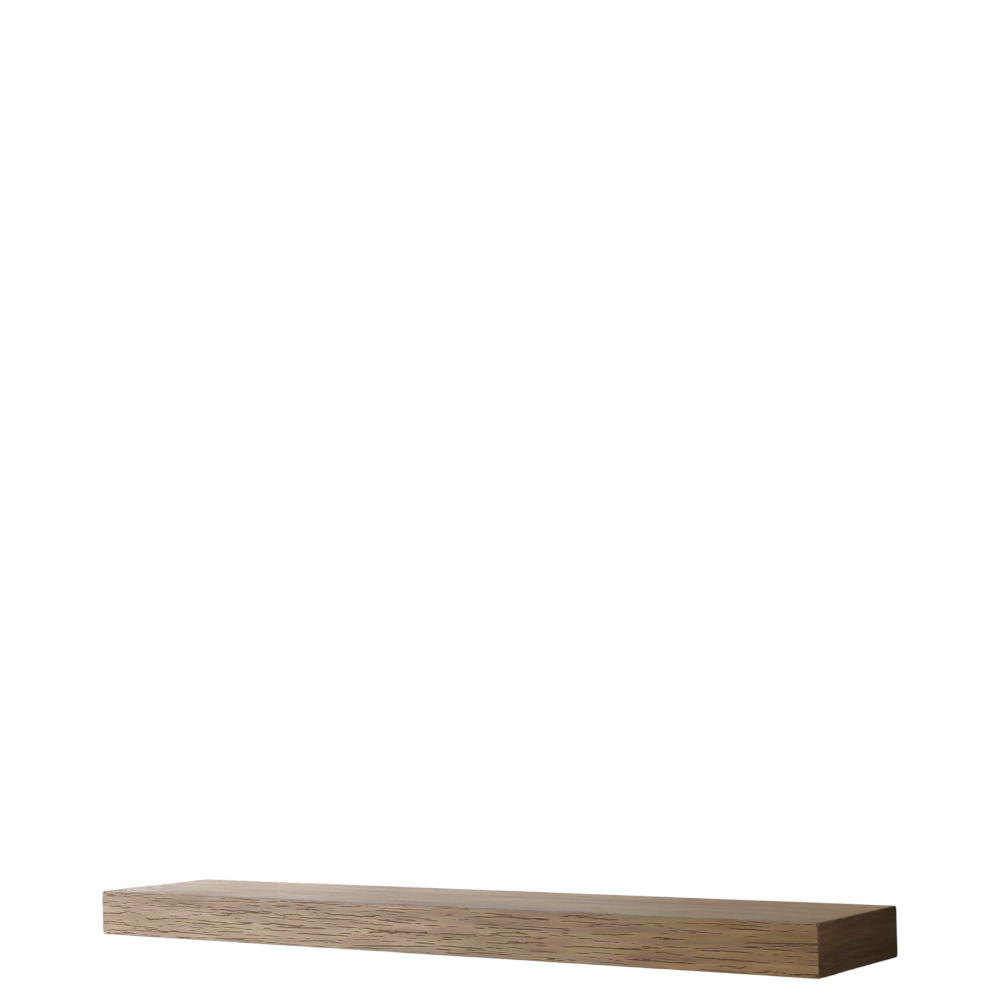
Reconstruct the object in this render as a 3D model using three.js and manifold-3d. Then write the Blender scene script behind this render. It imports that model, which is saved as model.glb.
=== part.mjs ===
// A hollow oak wall shelf and the hidden steel bracket that carries it.
// The shelf is a mitred box round a softwood core. It slides on to four rods that are welded to a plate
// on the wall, and two grub screws from below lock it there.
// Lengths are in millimetres. +X runs along the shelf and +Z is up. The wall is the plane y = 0, the
// shelf stands out from it towards -Y, and z = 0 is halfway up the shelf.

import * as THREE from "three";
import { ConvexGeometry } from "three/addons/geometries/ConvexGeometry.js";
import { RoundedBoxGeometry } from "three/addons/geometries/RoundedBoxGeometry.js";
import { mergeVertices } from "three/addons/utils/BufferGeometryUtils.js";
import Module from "manifold-3d";

const wasm = await Module();
wasm.setup();

// The box of five oak panels
const shelfLength = 914.4;
const shelfDepth = 177.8;
const shelfHeight = 50.8;
const panelThickness = 10;
const arrisRadius = 2;
const glueLine = 0.1;

// The softwood core: two rails along the shelf, with ribs between them
const frontRailDepth = 41;
const rearRailDepth = 28;
const rearRailClearance = 3.5; // between the plate and the rear rail, for the weld beads and the screw heads
const ribThickness = 18;

// The steel plate on the wall
const plateThickness = 6;
const plateEdgeGap = 1.4; // from the plate's long edges to the top and bottom panels
const plateEndGap = 42.2; // from each end of the plate to the end panel
const plateCornerRadius = 3;

// The rods that carry the shelf
const rodCount = 4;
const rodRadius = 6;
const rodSetIn = 105; // from the plate's end to the outer rod
const rodTipSetback = 27.8; // from the shelf's front face to the rods' tips
const rodTipChamfer = 1.5;
const weldLeg = 3;
const weldGap = 0.05; // between a bead and its rod
const weldThroatShare = 0.6; // how far the bead's face bulges, of its leg
const rodClearance = 0.4; // all round a rod in its bore
const boreEndClearance = 2; // past a rod's tip

// The screws that hold the plate to the wall
const studSpacing = 406.4; // between the inner two
const outerScrewSetIn = 25; // from the plate's end to the outer one
const wallScrewLength = 50;
const wallScrewRadius = 2.5;
const wallScrewPoint = 5;
const wallHeadRadius = 4.75;
const wallHeadRim = 0.3;
const wallHeadStandOut = 2.05; // of the head's top, from the front of the plate
const recessDepth = 1.8;
const recessWidth = 1.1;
const recessLength = 5;

// The nylon plugs round those screws
const plugRadius = 4;
const plugLength = 46; // from the collar's front to the tip
const plugCollarRadius = 6;
const plugCollarThickness = 1;
const plugHoleClearance = 0.25; // all round a plug in the plate
const screwClearance = 0.15; // all round a screw in its plug
const plugRidgeCount = 5;
const plugRidgePitch = 4.6;
const plugRidgeHeight = 0.35;
const plugNose = 2.5;
const plugSlotLength = 24;
const plugSlotWidth = 1;

// The grub screws that lock the shelf on its outer rods, and their brass inserts
const lockScrewRadius = 3;
const lockScrewLength = 12;
const lockScrewChamfer = 0.6;
const lockScrewGap = 0.3; // from its tip to the rod when the shelf is free to slide
const hexKeySize = 3; // across the flats
const hexSocketDepth = 3.5;
const lockScrewClearance = 0.08; // all round a grub screw in its insert
const insertRadius = 4;
const insertWall = 1; // of the rail between an insert and the rod's bore
const insertFlangeRadius = 4.8;
const insertFlangeThickness = 1;
const insertSeat = 0.15; // all round an insert in the rail
const accessHoleRadius = 4;

// How far a cutting piece runs past what it cuts, and how finely round pieces are divided
const overrun = 5;
const roundSides = 32;
const smallSides = 20;
const arrisSteps = 3;

// Places worked out from those sizes
const innerLength = shelfLength - 2 * panelThickness;
const innerHeight = shelfHeight - 2 * panelThickness;
const coreLength = innerLength - 2 * glueLine;
const coreHeight = innerHeight - 2 * glueLine;
const plateLength = innerLength - 2 * plateEndGap;
const plateHeight = innerHeight - 2 * plateEdgeGap;
const rodSpan = plateLength - 2 * rodSetIn;
const rodPitch = rodSpan / (rodCount - 1);
const rodPlaces = Array.from({ length: rodCount }, (_, i) => i * rodPitch - rodSpan / 2);
const rodTipY = rodTipSetback - shelfDepth;
const frontRailFront = panelThickness + glueLine - shelfDepth;
const frontRailBack = frontRailFront + frontRailDepth;
const rearRailBack = -(plateThickness + rearRailClearance);
const rearRailFront = rearRailBack - rearRailDepth;
const lockScrewY = (rearRailBack + rearRailFront) / 2;
const lockScrewTop = -(rodRadius + lockScrewGap);
const lockPlaces = [rodPlaces[0], rodPlaces[rodCount - 1]];
const insertBottom = -coreHeight / 2;
const insertLength = coreHeight / 2 - rodRadius - rodClearance - insertWall;
const outerScrewX = plateLength / 2 - outerScrewSetIn;
const wallScrewPlaces = [-outerScrewX, -studSpacing / 2, studSpacing / 2, outerScrewX];
const wallScrewHeadY = -(plateThickness + wallHeadStandOut);

const finishes = {
  oak: { color: "#a88a6b", roughness: 0.72, metalness: 0 },
  softwood: { color: "#d9bd8f", roughness: 0.8, metalness: 0 },
  powderCoat: { color: "#1d1e20", roughness: 0.55, metalness: 0.2 },
  zincSteel: { color: "#b9bcc0", roughness: 0.35, metalness: 1 },
  nylon: { color: "#8d9094", roughness: 0.6, metalness: 0 },
  brass: { color: "#c9a24c", roughness: 0.3, metalness: 1 },
};

// A closed geometry as a solid that can be joined and cut.
function solid(geometry) {
  const bare = geometry.clone();
  bare.deleteAttribute("normal");
  bare.deleteAttribute("uv");
  const merged = mergeVertices(bare);
  return new wasm.Manifold(
    new wasm.Mesh({
      numProp: 3,
      vertProperties: merged.getAttribute("position").array,
      triVerts: new Uint32Array(merged.index.array),
    }),
  );
}

// A cut solid back as a geometry, with a flat normal on each face.
function geometryOf(cut) {
  const { vertProperties, triVerts } = cut.getMesh();
  const shared = new THREE.BufferGeometry();
  shared.setAttribute("position", new THREE.BufferAttribute(vertProperties, 3));
  shared.setIndex(new THREE.BufferAttribute(triVerts, 1));
  const flat = shared.toNonIndexed();
  flat.computeVertexNormals();
  return flat;
}

function piece(name, finish, cut) {
  const mesh = new THREE.Mesh(geometryOf(cut), new THREE.MeshStandardMaterial(finishes[finish]));
  mesh.name = name;
  return mesh;
}

// A block between two opposite corners.
function block(low, high) {
  const size = high.map((value, i) => value - low[i]);
  const middle = high.map((value, i) => (value + low[i]) / 2);
  return solid(new THREE.BoxGeometry(...size).translate(...middle));
}

// A turned piece along Y, from its profile of [radius, y] points in the order of rising y.
function turned(profile, sides = roundSides) {
  const points = profile.map(([radius, y]) => new THREE.Vector2(radius, y));
  return solid(new THREE.LatheGeometry(points, sides));
}

// The same, stood up along Z.
function turnedUpright(profile, sides = roundSides) {
  const points = profile.map(([radius, z]) => new THREE.Vector2(radius, z));
  return solid(new THREE.LatheGeometry(points, sides).rotateX(Math.PI / 2));
}

// A cylinder along Y between two places, for a bore.
function boreAlongY(radius, x, from, to) {
  return turned([[0, from], [radius, from], [radius, to], [0, to]]).translate(x, 0, 0);
}

function boreAlongZ(radius, x, y, from, to) {
  return turnedUpright([[0, from], [radius, from], [radius, to], [0, to]]).translate(x, y, 0);
}

// The outer form of the shelf, with eased arrises. It runs on past the wall plane, where the panels end
// square.
const envelopeDepth = shelfDepth + 2 * overrun;
const envelope = solid(
  new RoundedBoxGeometry(shelfLength, envelopeDepth, shelfHeight, arrisSteps, arrisRadius),
).translate(0, overrun - shelfDepth / 2, 0);

// A panel lies between its rectangle at the inner face and its rectangle just past the outer face. Both
// shrink inwards at 45 degrees, which makes the mitres. inset is how far in from the outer face a
// rectangle lies, and half a glue line stays at each mitre.
const mitreGap = glueLine / Math.SQRT2;

function mitredPanel(cornersAt) {
  const corners = [...cornersAt(panelThickness), ...cornersAt(-overrun)];
  const wedge = new ConvexGeometry(corners.map((corner) => new THREE.Vector3(...corner)));
  return solid(wedge).intersect(envelope);
}

function levelCorners(inset, side) {
  const x = shelfLength / 2 - inset - mitreGap;
  const y = inset + mitreGap - shelfDepth;
  const z = side * (shelfHeight / 2 - inset);
  return [[-x, y, z], [x, y, z], [x, 0, z], [-x, 0, z]];
}

function frontCorners(inset) {
  const x = shelfLength / 2 - inset - mitreGap;
  const y = inset - shelfDepth;
  const z = shelfHeight / 2 - inset - mitreGap;
  return [[-x, y, -z], [x, y, -z], [x, y, z], [-x, y, z]];
}

function endCorners(inset, side) {
  const x = side * (shelfLength / 2 - inset);
  const y = inset + mitreGap - shelfDepth;
  const z = shelfHeight / 2 - inset - mitreGap;
  return [[x, y, -z], [x, 0, -z], [x, 0, z], [x, y, z]];
}

function bottomPanel() {
  const accessHoles = lockPlaces.map((x) =>
    boreAlongZ(accessHoleRadius, x, lockScrewY, -shelfHeight / 2 - overrun, overrun - innerHeight / 2),
  );
  return accessHoles.reduce(
    (panel, hole) => panel.subtract(hole),
    mitredPanel((inset) => levelCorners(inset, -1)),
  );
}

function coreBlock(fromX, toX, fromY, toY) {
  return block([fromX, fromY, -coreHeight / 2], [toX, toY, coreHeight / 2]);
}

// The rods' tips end in blind bores in the front rail.
function frontRail() {
  const rail = coreBlock(-coreLength / 2, coreLength / 2, frontRailFront, frontRailBack);
  return rodPlaces.reduce((cut, x) => {
    const bore = boreAlongY(rodRadius + rodClearance, x, rodTipY - boreEndClearance, frontRailBack + overrun);
    return cut.subtract(bore);
  }, rail);
}

// The rear rail hangs on the rods, and holds the two inserts from below.
function rearRail() {
  const rail = coreBlock(-coreLength / 2, coreLength / 2, rearRailFront, rearRailBack);
  const bores = rodPlaces.map((x) =>
    boreAlongY(rodRadius + rodClearance, x, rearRailFront - overrun, rearRailBack + overrun),
  );
  const insertHoles = lockPlaces.map((x) =>
    turnedUpright([
      [0, insertBottom - overrun],
      [insertFlangeRadius + insertSeat, insertBottom - overrun],
      [insertFlangeRadius + insertSeat, insertBottom + insertFlangeThickness + insertSeat],
      [insertRadius + insertSeat, insertBottom + insertFlangeThickness + insertSeat],
      [insertRadius + insertSeat, insertBottom + insertLength + insertSeat],
      [lockScrewRadius + insertSeat, insertBottom + insertLength + insertSeat],
      [lockScrewRadius + insertSeat, 0],
      [0, 0],
    ]).translate(x, lockScrewY, 0),
  );
  return [...bores, ...insertHoles].reduce((cut, hole) => cut.subtract(hole), rail);
}

// Ribs stand midway between the rods and against both end panels.
function ribPlaces() {
  const betweenRods = rodPlaces.slice(1).map((x) => x - rodPitch / 2);
  const atEnd = (coreLength - ribThickness) / 2;
  return [-atEnd, ...betweenRods, atEnd];
}

function rib(x) {
  const half = ribThickness / 2;
  return coreBlock(x - half, x + half, frontRailBack + glueLine, rearRailFront - glueLine);
}

function threadedInsert(x) {
  const hole = lockScrewRadius + lockScrewClearance;
  return turnedUpright([
    [hole, insertBottom],
    [insertFlangeRadius, insertBottom],
    [insertFlangeRadius, insertBottom + insertFlangeThickness],
    [insertRadius, insertBottom + insertFlangeThickness],
    [insertRadius, insertBottom + insertLength],
    [hole, insertBottom + insertLength],
    [hole, insertBottom],
  ]).translate(x, lockScrewY, 0);
}

// A grub screw with its hex socket at the lower end, where the key comes in.
function lockScrew(x) {
  const bottom = lockScrewTop - lockScrewLength;
  const body = turnedUpright([
    [0, bottom],
    [lockScrewRadius - lockScrewChamfer, bottom],
    [lockScrewRadius, bottom + lockScrewChamfer],
    [lockScrewRadius, lockScrewTop - lockScrewChamfer],
    [lockScrewRadius - lockScrewChamfer, lockScrewTop],
    [0, lockScrewTop],
  ]);
  const socketLength = hexSocketDepth + overrun;
  const socket = solid(
    new THREE.CylinderGeometry(hexKeySize / Math.sqrt(3), hexKeySize / Math.sqrt(3), socketLength, 6)
      .rotateX(Math.PI / 2)
      .translate(0, 0, bottom + hexSocketDepth - socketLength / 2),
  );
  return body.subtract(socket).translate(x, lockScrewY, 0);
}

// The plate is flat bar with rounded corners, and a plain hole for each plug.
function backPlate() {
  const outline = new THREE.Shape();
  const x = plateLength / 2 - plateCornerRadius;
  const y = plateHeight / 2 - plateCornerRadius;
  outline.absarc(x, y, plateCornerRadius, 0, Math.PI / 2);
  outline.absarc(-x, y, plateCornerRadius, Math.PI / 2, Math.PI);
  outline.absarc(-x, -y, plateCornerRadius, Math.PI, 1.5 * Math.PI);
  outline.absarc(x, -y, plateCornerRadius, 1.5 * Math.PI, 2 * Math.PI);
  const bar = new THREE.ExtrudeGeometry(outline, {
    depth: plateThickness,
    bevelEnabled: false,
    curveSegments: arrisSteps * 2,
  });
  const plate = solid(bar.rotateX(Math.PI / 2));
  return wallScrewPlaces.reduce((cut, screwX) => {
    const hole = boreAlongY(plugRadius + plugHoleClearance, screwX, -plateThickness - overrun, overrun);
    return cut.subtract(hole);
  }, plate);
}

// A rod stands face to face on the plate.
function supportRod(x) {
  return turned([
    [0, rodTipY],
    [rodRadius - rodTipChamfer, rodTipY],
    [rodRadius, rodTipY + rodTipChamfer],
    [rodRadius, -plateThickness],
    [0, -plateThickness],
  ]).translate(x, 0, 0);
}

// The weld bead in the corner between a rod's foot and the plate.
function weldBead(x) {
  const hole = rodRadius + weldGap;
  const throat = weldThroatShare * weldLeg;
  return turned([
    [hole, -plateThickness - weldLeg],
    [hole + throat, -plateThickness - throat],
    [hole + weldLeg, -plateThickness],
    [hole, -plateThickness],
    [hole, -plateThickness - weldLeg],
  ]).translate(x, 0, 0);
}

// A countersunk screw. Its cone runs down to the shank at 45 degrees, and a cross recess is sunk in its head.
function wallScrew(x) {
  const rimY = wallScrewHeadY + wallHeadRim;
  const tipY = wallScrewHeadY + wallScrewLength;
  const body = turned(
    [
      [0, wallScrewHeadY],
      [wallHeadRadius, wallScrewHeadY],
      [wallHeadRadius, rimY],
      [wallScrewRadius, rimY + wallHeadRadius - wallScrewRadius],
      [wallScrewRadius, tipY - wallScrewPoint],
      [0, tipY],
    ],
    smallSides,
  );
  const arms = [
    [recessLength / 2, recessWidth / 2],
    [recessWidth / 2, recessLength / 2],
  ].map(([halfX, halfZ]) =>
    block([-halfX, wallScrewHeadY - overrun, -halfZ], [halfX, wallScrewHeadY + recessDepth, halfZ]),
  );
  return body.subtract(arms[0].add(arms[1])).translate(x, 0, 0);
}

// A ridged plug with a dished collar. Two crossed slots from the tip let its legs spread.
function wallPlug(x) {
  const frontY = -plateThickness - plugCollarThickness;
  const tipY = frontY + plugLength;
  const boreRadius = wallScrewRadius + screwClearance;
  const dishY = wallScrewHeadY + wallHeadRim + wallHeadRadius + screwClearance;
  const firstRidge = tipY - plugNose - plugRidgeCount * plugRidgePitch;
  const ridges = Array.from({ length: plugRidgeCount }, (_, i) => firstRidge + i * plugRidgePitch).flatMap(
    (y) => [
      [plugRadius - plugRidgeHeight, y],
      [plugRadius, y + plugRidgePitch - plugRidgeHeight],
      [plugRadius - plugRidgeHeight, y + plugRidgePitch],
    ],
  );
  const outer = [
    [plugCollarRadius, frontY],
    [plugCollarRadius, -plateThickness],
    [plugRadius, -plateThickness],
    [plugRadius, firstRidge - plugRidgeHeight],
    ...ridges.slice(0, -1),
    [plugRadius - plugRidgeHeight, tipY - plugNose],
    [boreRadius + plugRidgeHeight, tipY],
  ];
  const inner = [
    [boreRadius, tipY],
    [boreRadius, dishY - boreRadius],
    [dishY - frontY, frontY],
  ];
  const body = turned([inner[2], ...outer, ...inner], smallSides);
  const half = plugSlotWidth / 2;
  const reach = plugRadius + overrun;
  const slots = [
    block([-reach, tipY - plugSlotLength, -half], [reach, tipY + overrun, half]),
    block([-half, tipY - plugSlotLength, -reach], [half, tipY + overrun, reach]),
  ];
  return body.subtract(slots[0]).subtract(slots[1]).translate(x, 0, 0);
}

const sides = ["left", "right"];

function buildShelf() {
  const shelf = new THREE.Group();
  shelf.add(
    piece("top_panel", "oak", mitredPanel((inset) => levelCorners(inset, 1))),
    piece("bottom_panel", "oak", bottomPanel()),
    piece("front_panel", "oak", mitredPanel(frontCorners)),
    piece("left_end_panel", "oak", mitredPanel((inset) => endCorners(inset, -1))),
    piece("right_end_panel", "oak", mitredPanel((inset) => endCorners(inset, 1))),
    piece("front_rail", "softwood", frontRail()),
    piece("rear_rail", "softwood", rearRail()),
    ...ribPlaces().map((x, i) => piece(`rib_${i + 1}`, "softwood", rib(x))),
    ...lockPlaces.map((x, i) => piece(`insert_${sides[i]}`, "brass", threadedInsert(x))),
    ...lockPlaces.map((x, i) => piece(`lock_screw_${sides[i]}`, "zincSteel", lockScrew(x))),
  );
  return shelf;
}

function buildBracket() {
  const bracket = new THREE.Group();
  bracket.add(
    piece("back_plate", "powderCoat", backPlate()),
    ...rodPlaces.map((x, i) => piece(`support_rod_${i + 1}`, "powderCoat", supportRod(x))),
    ...rodPlaces.map((x, i) => piece(`weld_bead_${i + 1}`, "powderCoat", weldBead(x))),
    ...wallScrewPlaces.map((x, i) => piece(`wall_plug_${i + 1}`, "nylon", wallPlug(x))),
    ...wallScrewPlaces.map((x, i) => piece(`wall_screw_${i + 1}`, "zincSteel", wallScrew(x))),
  );
  return bracket;
}

const wallShelf = new THREE.Group();
wallShelf.add(buildShelf(), buildBracket());

export default wallShelf;
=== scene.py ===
import math

import bpy
import numpy as np
from mathutils import Matrix, Vector


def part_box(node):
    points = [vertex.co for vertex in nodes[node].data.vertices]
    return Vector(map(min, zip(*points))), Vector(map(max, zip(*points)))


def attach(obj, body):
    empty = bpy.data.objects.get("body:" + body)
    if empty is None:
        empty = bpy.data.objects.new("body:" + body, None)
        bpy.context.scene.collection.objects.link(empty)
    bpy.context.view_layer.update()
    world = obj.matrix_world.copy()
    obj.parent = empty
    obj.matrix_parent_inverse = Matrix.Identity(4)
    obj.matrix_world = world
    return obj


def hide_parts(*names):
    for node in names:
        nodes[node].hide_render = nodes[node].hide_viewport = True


# A floating oak shelf on its hidden rod bracket. Metres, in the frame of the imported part:
# +X along the shelf, +Z up, the wall at y = 0 and the front face towards -Y.

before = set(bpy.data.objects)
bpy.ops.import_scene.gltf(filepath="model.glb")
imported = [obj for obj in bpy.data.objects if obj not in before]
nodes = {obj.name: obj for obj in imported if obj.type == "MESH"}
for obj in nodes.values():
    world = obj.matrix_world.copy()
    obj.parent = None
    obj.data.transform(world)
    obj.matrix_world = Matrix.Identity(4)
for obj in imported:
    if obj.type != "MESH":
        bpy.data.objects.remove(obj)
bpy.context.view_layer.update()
mm = 0.001
leftRight = ("left", "right")
bpy.ops.object.select_all(action="DESELECT")
print("frame loaded:", len(nodes), "nodes")


# Helpers for materials

def paint(hexColour):
    # an sRGB hex colour as the linear colour that the shaders want
    parts = [int(hexColour[i:i + 2], 16) / 255 for i in (1, 3, 5)]
    curved = [p / 12.92 if p <= 0.04045 else ((p + 0.055) / 1.055) ** 2.4 for p in parts]
    return (*curved, 1.0)


def put(tree, kind, inputs=None, output=0, stops=(), **settings):
    # adds a shader node and gives one of its outputs; an input is a socket, a value or a hex colour
    node = tree.nodes.new("ShaderNode" + kind)
    for name, value in settings.items():
        setattr(node, name, value)
    for name, value in (inputs or {}).items():
        if isinstance(value, bpy.types.NodeSocket):
            tree.links.new(value, node.inputs[name])
        else:
            node.inputs[name].default_value = paint(value) if isinstance(value, str) else value
    for index, (place, colour) in enumerate(stops):
        elements = node.color_ramp.elements
        element = elements[index] if index < 2 else elements.new(place)
        element.position = place
        element.color = colour
    return node.outputs[output] if len(node.outputs) else None


def calc(operation, *inputs, kind="Math", **settings):
    tree = next(value.id_data for value in inputs if isinstance(value, bpy.types.NodeSocket))
    return put(tree, kind, dict(enumerate(inputs)), operation=operation, **settings)


def vector(operation, *inputs):
    return calc(operation, *inputs, kind="VectorMath")


def scaled(source, factor):
    return put(source.id_data, "VectorMath", {0: source, 3: factor}, operation="SCALE")


def ranged(source, low, high, toLow, toHigh, **settings):
    ends = {1: low, 2: high, 3: toLow, 4: toHigh}
    return put(source.id_data, "MapRange", {0: source, **ends}, **settings)


def mixed(share, first, second):
    return put(share.id_data, "Mix", {0: share, 6: first, 7: second}, 2, data_type="RGBA")


def noise(spot, size, detail=2.0, roughness=0.5, output=0):
    # size in mm: one number, one along and one across the grain, or one for each axis
    sizes = (size[0], size[1], size[-1]) if isinstance(size, tuple) else (size, size, size)
    cells = vector("MULTIPLY", spot, tuple(1000 / value for value in sizes))
    inputs = {"Vector": cells, "Scale": 1.0, "Detail": detail, "Roughness": roughness}
    return put(spot.id_data, "TexNoise", inputs, output)


def layer(spot, size, detail, roughness, *span):
    # a noise, of which the span from one value to another turns into two levels
    return ranged(noise(spot, size, detail, roughness), *span)


def wave(spot, pitch, **settings):
    # a line or ring every pitch, in mm
    scale = math.tau / 20 / (pitch * mm)
    return put(spot.id_data, "TexWave", {"Scale": scale, "Vector": spot}, "Fac", **settings)


def alongGrain(spot, grainAxis, shift):
    # coordinates turned so that the grain runs along X, at another place in the log
    turn = (0, 0, 0) if grainAxis == 0 else (0, 0, math.radians(-90))
    return put(spot.id_data, "Mapping", {"Vector": spot, "Location": shift, "Rotation": turn})


def newMaterial(name):
    material = bpy.data.materials.new(name)
    material.use_nodes = True
    tree = material.node_tree
    tree.nodes.clear()
    return material, put(tree, "TexCoord", output="Object")


usual = (0.3, 0.7)  # where most of a noise lies
bumpStrength = 0.6


def closeMaterial(colour, rough, height, depth, constants):
    tree = colour.id_data
    bump = put(tree, "Bump", {"Strength": bumpStrength, "Distance": depth, "Height": height})
    shader = put(tree, "BsdfPrincipled",
                 {"Base Color": colour, "Roughness": rough, "Normal": bump, **constants})
    put(tree, "OutputMaterial", {"Surface": shader})


# Helpers for meshes

def dress(piece, material):
    piece.data.materials.clear()
    piece.data.materials.append(material)


def selectOnly(piece):
    bpy.ops.object.select_all(action="DESELECT")
    piece.select_set(True)
    bpy.context.view_layer.objects.active = piece


def shape(add, **settings):
    # one primitive, alone in the selection
    bpy.ops.object.select_all(action="DESELECT")
    add(**settings)
    return bpy.context.object


def copyOf(source, name):
    # a copy with its own mesh
    piece = source.copy()
    piece.data = source.data.copy()
    piece.name = name
    piece.data.name = name
    bpy.context.scene.collection.objects.link(piece)
    return piece


def openMesh(choice="SELECT"):
    bpy.ops.object.mode_set(mode="EDIT")
    bpy.ops.mesh.select_all(action=choice)


def closeMesh():
    bpy.ops.object.mode_set(mode="OBJECT")


def openPicked(elements, isPicked):
    # opens the mesh with nothing but the picked edges or faces selected
    openMesh("DESELECT")
    closeMesh()
    for element in elements:
        element.select = isPicked(element)
    bpy.ops.object.mode_set(mode="EDIT")


def applyPlace():
    bpy.ops.object.transform_apply(location=True, rotation=True, scale=True)


def smooth(angle):
    bpy.ops.object.shade_smooth_by_angle(angle=math.radians(angle))


def readPoints(piece):
    points = np.zeros(len(piece.data.vertices) * 3)
    piece.data.vertices.foreach_get("co", points)
    return points.reshape(-1, 3)


def writePoints(piece, points):
    piece.data.vertices.foreach_set("co", points.ravel())
    piece.data.update()


weldDistance = 0.001 * mm


def lathe(name, profile, sides, isRing=False):
    # turns a profile of (radius, height) pairs about Z; the profile of a ring ends where it starts
    radius, height = profile[0]
    piece = shape(bpy.ops.mesh.primitive_circle_add, vertices=sides, radius=radius,
                  fill_type="NOTHING" if isRing else "NGON")
    piece.name = name
    openMesh()
    bpy.ops.transform.translate(value=(0, 0, height))
    for nextRadius, nextHeight in profile[1:]:
        bpy.ops.mesh.extrude_region_move(TRANSFORM_OT_translate={"value": (0, 0, nextHeight - height)})
        share = nextRadius / radius
        bpy.ops.transform.resize(value=(share, share, 1), center_override=(0, 0, nextHeight))
        radius, height = nextRadius, nextHeight
    bpy.ops.mesh.select_all(action="SELECT")
    bpy.ops.mesh.remove_doubles(threshold=weldDistance)
    bpy.ops.mesh.normals_make_consistent(inside=False)
    closeMesh()
    return piece


def evenly(radius, start, end, rings):
    # points of a profile at one radius, after its start
    return [(radius, start + (end - start) * ring / rings) for ring in range(1, rings + 1)]


# the flank's share of a thread, its run-out in pitches, from what radius it has its full depth, and
# the least radius that is divided by
thread = {"flank": 0.75, "runOut": 0.8, "fullRadius": 2.5 * mm, "leastRadius": 0.01 * mm}


def cutThread(piece, low, high, pitch, depth, crest, wall=(0, 1)):
    # sinks a helical groove in the wall between two heights; it runs out at both ends
    points = readPoints(piece)
    radius = np.hypot(points[:, 0], points[:, 1])
    turn = np.arctan2(points[:, 1], points[:, 0]) / math.tau
    phase = (points[:, 2] / pitch - turn) % 1
    groove = np.clip((1 - np.abs(2 * phase - 1) - crest) / (thread["flank"] - crest), 0, 1)
    end = thread["runOut"] * pitch
    runOut = eased(points[:, 2], low, low + end) * (1 - eased(points[:, 2], high - end, high))
    onWall = (radius > wall[0]) & (radius < wall[1])
    sink = depth * groove * runOut * np.minimum(1, radius / thread["fullRadius"]) * onWall
    share = 1 - sink / np.maximum(radius, thread["leastRadius"])
    points[:, :2] *= share[:, None]
    writePoints(piece, points)


def cutAway(piece, cutter, solver="EXACT"):
    selectOnly(piece)
    boolean = piece.modifiers.new("cut", "BOOLEAN")
    boolean.operation = "DIFFERENCE"
    boolean.solver = solver
    boolean.object = cutter
    bpy.ops.object.modifier_apply(modifier="cut")
    bpy.data.objects.remove(cutter)


def easeEdges(piece, width, segments, angle=40):
    selectOnly(piece)
    bevel = piece.modifiers.new("ease", "BEVEL")
    bevel.width = width
    bevel.segments = segments
    bevel.limit_method = "ANGLE"
    bevel.angle_limit = math.radians(angle)
    bevel.harden_normals = False
    bpy.ops.object.modifier_apply(modifier="ease")


def layAlongY(piece):
    # from upright, heights along +Z, to heights along +Y
    selectOnly(piece)
    piece.rotation_euler = (math.radians(-90), 0, 0)
    applyPlace()


def finishPiece(piece, body, node, material, angle=40):
    selectOnly(piece)
    applyPlace()
    smooth(angle)
    dress(piece, material)
    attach(piece, body)
    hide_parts(node)


def roundSize(node, axis=1):
    # the radius and the length of a round solid along an axis
    low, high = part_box(node)
    return (high[0] - low[0]) / 2, high[axis] - low[axis]


def middleOf(node):
    low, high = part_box(node)
    return [(a + b) / 2 for a, b in zip(low, high)]


def setOut(model, stem, nodeStem, keys, material, body="wall_bracket", axis=1, angle=40, spin=0):
    # a finished copy of the model at each node, from the node's low side along one axis, each
    # turned on by the spin; without a body, each copy is the body that its node names
    for number, key in enumerate(keys, 1):
        node = f"{nodeStem}_{key}"
        piece = copyOf(model, f"{stem}_{key}")
        spot = middleOf(node)
        spot[axis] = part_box(node)[0][axis]
        turn = Matrix.Rotation(math.radians(spin * number), 4, "Y")
        piece.data.transform(Matrix.Translation(spot) @ turn)
        finishPiece(piece, body or node, node, material, angle)
    bpy.data.objects.remove(model)


# Seeded noise for shapes
noiseTables = {}


def softNoise(points, cell, seed):
    # smooth noise from -1 to 1 at points, with bumps about one cell wide
    if seed not in noiseTables:
        noiseTables[seed] = np.random.default_rng(seed).uniform(-1, 1, (32, 32, 32))
    table = noiseTables[seed]
    places = points / np.asarray(cell)
    low = np.floor(places)
    part = eased(places - low, 0, 1)
    low = low.astype(int)
    total = np.zeros(len(points))
    for corner in range(8):
        step = np.array([corner & 1, corner >> 1 & 1, corner >> 2 & 1])
        weight = np.prod(np.where(step == 1, part, 1 - part), axis=1)
        index = (low + step) % 32
        total += weight * table[index[:, 0], index[:, 1], index[:, 2]]
    return total


def eased(value, low, high):
    share = np.clip((value - low) / (high - low), 0, 1)
    return share * share * (3 - 2 * share)


# Camera
cameraView = {
    "place": (1.1914, -1.7414, 0.2066),
    "yaw": 34.539,
    "pitch": 0.840,
    "roll": -1.207,
    "lens": 68.19,
    "sensor": 36.0,
    "rise": 0.2,
    "clip": (0.05, 200),
}


def addCamera():
    data = bpy.data.cameras.new("camera")
    data.lens = cameraView["lens"]
    data.sensor_width = cameraView["sensor"]
    data.shift_y = cameraView["rise"]  # a rising front keeps the shelf's uprights upright
    data.clip_start, data.clip_end = cameraView["clip"]
    camera = bpy.data.objects.new("camera", data)
    bpy.context.scene.collection.objects.link(camera)
    turn = Matrix.Rotation(math.radians(cameraView["yaw"]), 4, "Z")
    tilt = Matrix.Rotation(math.radians(90 + cameraView["pitch"]), 4, "X")
    lean = Matrix.Rotation(math.radians(cameraView["roll"]), 4, "Z")
    camera.matrix_world = Matrix.Translation(cameraView["place"]) @ turn @ tilt @ lean
    bpy.context.scene.camera = camera


addCamera()
print("camera placed")


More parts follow.
